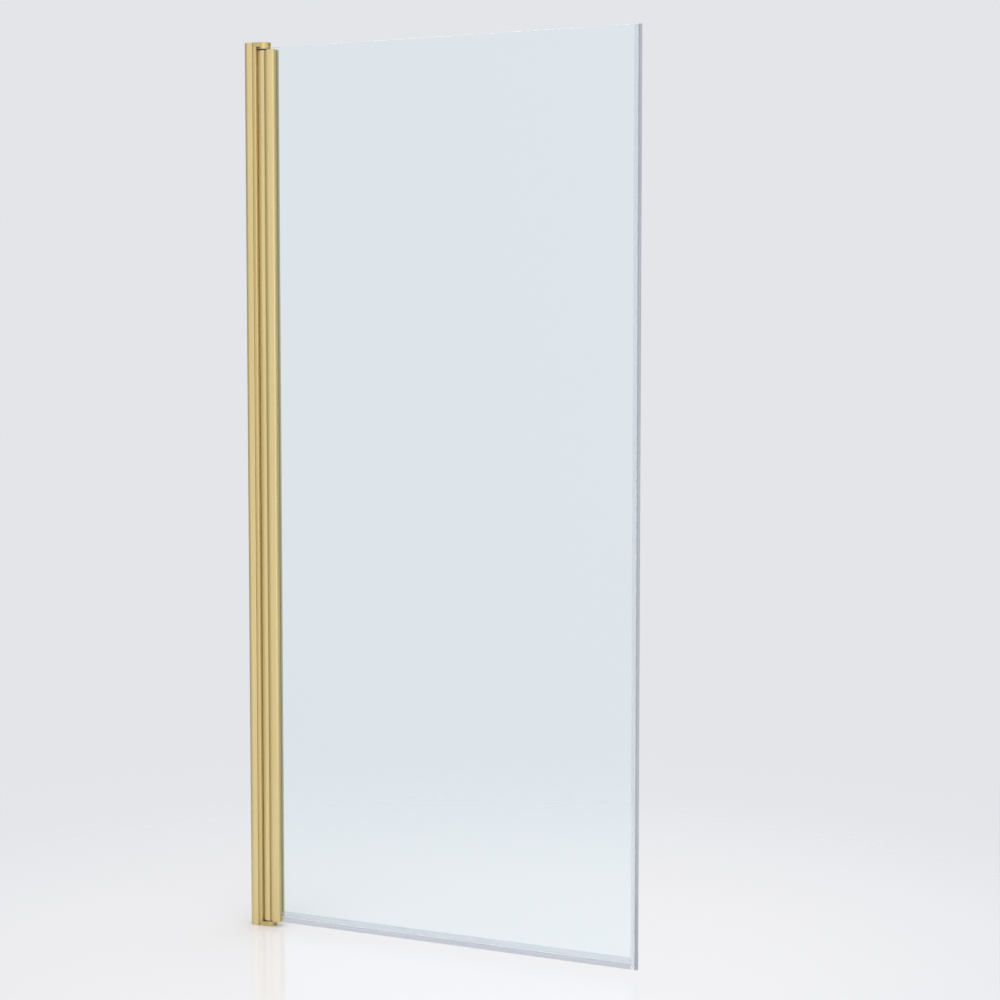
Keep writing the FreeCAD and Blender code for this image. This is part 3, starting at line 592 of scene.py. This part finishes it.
def bottomSeal():
    # a clip on the lower glass edge, a wiper hanging from its front and a drip lip to the shower side
    size = dict(clip=1.0, web=1.4, gap=0.1, legUp=12, wiperLean=0.8, wiperRoot=1.2, wiperTip=0.7,
                dripReach=7, dripDrop=5.5, dripTip=0.6, legRound=0.4, rootRound=0.5, tipRound=0.25,
                cornerPoints=6, ease=0.15)
    finish = dict(slack=0.1, lips=dict(light="#ccced4", dark="#c1c4ca"))
    low, high = boxMm("bottom_seal")
    glassLow, glassHigh = boxMm("glass_pane")
    glassEdge, inner = glassLow[2], glassHigh[1] + size["gap"]
    outer, webTop = inner + size["clip"], glassEdge - size["gap"]
    webUnder, legTop = webTop - size["web"], glassEdge + size["legUp"]
    wiperY, dripY = size["wiperLean"] - outer, outer + size["dripReach"]
    dripZ = webUnder - size["dripDrop"]
    leg, root, tip = size["legRound"], size["rootRound"], size["tipRound"]
    section = cornered([
        (-outer, legTop, leg),
        (-outer, webUnder),
        (wiperY, low[2], tip),
        (wiperY + size["wiperTip"], low[2], tip),
        (size["wiperRoot"] - outer, webUnder, root),
        (outer - size["wiperRoot"], webUnder, root),
        (dripY - size["dripTip"], dripZ, tip),
        (dripY, dripZ + size["dripTip"], tip),
        (outer, webTop),
        (outer, legTop, leg),
        (inner, legTop, leg),
        (inner, webTop),
        (-inner, webTop),
        (-inner, legTop, leg),
    ], size["cornerPoints"])
    seal = newObject("bottomSealClear", *carried([section], low[0], high[0], size["ease"], axes=(1, 2, 0)))
    seal.visible_shadow = seal.visible_diffuse = False  # as for the glass
    fitted(seal, "bottom_seal", clearPvc("level"), softPvc("level", **finish["lips"]))
    finishFaces(seal, lambda middles, normals: middles[:, 2] < webUnder - finish["slack"])


def closingSeal():
    # a clip on the free glass edge that ends in a hollow round bulb
    size = dict(clip=1.0, web=1.4, gap=0.1, neck=1.6, bulbWall=0.8, bulbPoints=48, legRound=0.4,
                webRound=0.5, cornerPoints=6, ease=0.15)
    finish = dict(slack=0.1, bulb=dict(light="#b2b5bb", dark="#a6a9af"))
    low, high = boxMm("closing_edge_seal")
    _, glassHigh = boxMm("glass_pane")
    inner, webNear = glassHigh[1] + size["gap"], glassHigh[0] + size["gap"]
    outer, webFar = inner + size["clip"], webNear + size["web"]
    reach, neck = high[0] - webFar, size["neck"]
    radius = (reach ** 2 + neck ** 2) / (2 * reach)
    centre = high[0] - radius
    opening = np.arctan2(neck, webFar - centre)
    angle = np.linspace(-opening, opening, size["bulbPoints"])
    bulb = np.column_stack([centre + radius * np.cos(angle), radius * np.sin(angle)])
    leg, turn = size["legRound"], size["webRound"]
    section = cornered([
        (low[0], -outer, leg),
        (webFar, -outer, turn),
        *bulb,
        (webFar, outer, turn),
        (low[0], outer, leg),
        (low[0], inner, leg),
        (webNear, inner),
        (webNear, -inner),
        (low[0], -inner, leg),
    ], size["cornerPoints"])
    hollow = circle(centre, 0, radius - size["bulbWall"], size["bulbPoints"])
    seal = newObject("closingSealClear", *carried([section, hollow], low[2], high[2], size["ease"]))
    seal.visible_shadow = seal.visible_diffuse = False  # as for the glass
    fitted(seal, "closing_edge_seal", clearPvc("upright"), softPvc("upright", **finish["bulb"]))
    finishFaces(seal, lambda middles, normals: middles[:, 0] > webFar - finish["slack"])


glassPane()
glazingStrips()
bottomSeal()
closingSeal()
print("glass and seals made")

# the other nodes keep their shape and take the finish of their slot
for node, solid in frame["nodes"].items():
    if not solid.hide_render:
        for place in solid.material_slots:
            place.material = finishOf[slotOf[node]]
print("other nodes finished")


# studio

def paleFloor():
    # a round floor of smooth pale tile, with a faint reflection, that fades out into the backdrop all round
    look = dict(colour="#e7e7e8", rough=0.12, gloss=0.25, radius=3.4, solidTo=0.45, goneBy=2.1, drop=0.3,
                points=96)
    low, high = cadBox
    middle = (low.x + high.x) / 2
    ring = circle(middle / mm, 0, look["radius"] / mm, look["points"])
    points = np.column_stack([ring, np.full(len(ring), low.z / mm - look["drop"])]) * mm
    floor = newObject("paleFloor", points, [list(range(len(ring)))])
    material, tree, shader = newMaterial("satin_pale_tile", {
        "Base Color": linear(look["colour"]), "Roughness": look["rough"],
        "Specular IOR Level": look["gloss"]})
    where = addNode(tree, "ShaderNodeTexCoord").outputs["Object"]
    centred = addNode(tree, "ShaderNodeMapping", {"Vector": where, "Location": (-middle, 0, 0)})
    away = addNode(tree, "ShaderNodeVectorMath", {0: centred.outputs[0]}, operation="LENGTH")
    fade = addNode(tree, "ShaderNodeMapRange", {
        "Value": away.outputs["Value"], "From Min": look["solidTo"], "From Max": look["goneBy"],
        "To Min": 1.0, "To Max": 0.0}, interpolation_type="SMOOTHSTEP")
    tree.links.new(fade.outputs[0], shader.inputs["Alpha"])
    floor.data.materials.append(material)


def backdrop():
    # a pale dome, a sphere of rows and columns with two poles, that is seen straight on or through the glass
    # and neither lights nor reflects
    look = dict(colour="#e3e5e9", radius=14, rows=24, columns=48)
    turn = np.linspace(0, 2 * np.pi, look["columns"], endpoint=False)
    rise = np.linspace(-np.pi / 2, np.pi / 2, look["rows"])[1:-1]
    turn, rise = np.meshgrid(turn, rise)
    grid = np.stack([np.cos(rise) * np.cos(turn), np.cos(rise) * np.sin(turn), np.sin(rise)], 2)
    grid = grid.reshape(-1, 3)
    points = np.vstack([grid, [[0, 0, -1], [0, 0, 1]]]) * look["radius"]
    here = np.arange(len(grid)).reshape(-1, look["columns"])
    beside = np.roll(here, -1, 1)
    quads = np.stack([here[:-1], here[1:], beside[1:], beside[:-1]], 2).reshape(-1, 4)
    bottom = np.column_stack([np.full(look["columns"], len(grid)), here[0], beside[0]])
    top = np.column_stack([np.full(look["columns"], len(grid) + 1), beside[-1], here[-1]])
    dome = newObject("paleBackdrop", points, quads.tolist() + bottom.tolist() + top.tolist())
    material = bpy.data.materials.new("even_pale_backdrop")
    material.use_nodes = True
    tree = material.node_tree
    glow = addNode(tree, "ShaderNodeEmission", {"Color": linear(look["colour"])})
    tree.links.new(glow.outputs[0], tree.nodes["Material Output"].inputs["Surface"])
    dome.data.materials.append(material)
    dome.visible_diffuse = dome.visible_glossy = dome.visible_shadow = False


def studioLight():
    # soft light from all round: a dim room, and broad lobes that each brighten smoothly towards their middle
    look = dict(colour="#fdfdff", room=0.28, lobes=[
        dict(name="key, front", towards=(-0.12, -0.99, 0.08), power=0.78, spread=(0.6, 0.94)),
        dict(name="fill, front right", towards=(0.65, -0.75, 0.15), power=0.95, spread=(0.3, 0.97)),
        dict(name="room behind", towards=(0.4, 0.9, 0.1), power=0.3, spread=(-0.1, 0.9)),
        dict(name="ceiling", towards=(0.0, 0.0, 1.0), power=1.0, spread=(0.2, 1.0)),
    ])
    world = bpy.data.worlds.new("softStudio")
    bpy.context.scene.world = world
    world.use_nodes = True
    tree = world.node_tree
    direction = addNode(tree, "ShaderNodeTexCoord").outputs["Generated"]
    total = look["room"]
    for lobe in look["lobes"]:
        middle = Vector(lobe["towards"]).normalized()
        facing = addNode(tree, "ShaderNodeVectorMath", {0: direction, 1: middle}, operation="DOT_PRODUCT",
                         label=lobe["name"])
        low, high = lobe["spread"]
        glow = addNode(tree, "ShaderNodeMapRange", {
            "Value": facing.outputs["Value"], "From Min": low, "From Max": high, "To Min": 0.0,
            "To Max": lobe["power"]}, interpolation_type="SMOOTHSTEP")
        total = addNode(tree, "ShaderNodeMath", {0: total, 1: glow.outputs[0]}, operation="ADD").outputs[0]
    tree.links.new(total, tree.nodes["Background"].inputs["Strength"])
    tree.nodes["Background"].inputs["Color"].default_value = linear(look["colour"])
    bpy.context.scene.view_settings.view_transform = "Standard"


def camera():
    # the photograph's viewpoint, right of the middle and a little above half height
    look = dict(place=(2.3905, -3.8722, 1.2905), yawDeg=24.883, pitchDeg=3.788, lens=75.58, sensor=36,
                shiftY=-0.03)
    data = bpy.data.cameras.new("photoCamera")
    data.lens, data.sensor_width, data.shift_y = look["lens"], look["sensor"], look["shiftY"]
    made = bpy.data.objects.new("photoCamera", data)
    made.location = look["place"]
    made.rotation_euler = np.radians([90 - look["pitchDeg"], 0, look["yawDeg"]])
    bpy.context.scene.collection.objects.link(made)
    bpy.context.scene.camera = made


paleFloor()
backdrop()
studioLight()
camera()
print("studio ready")
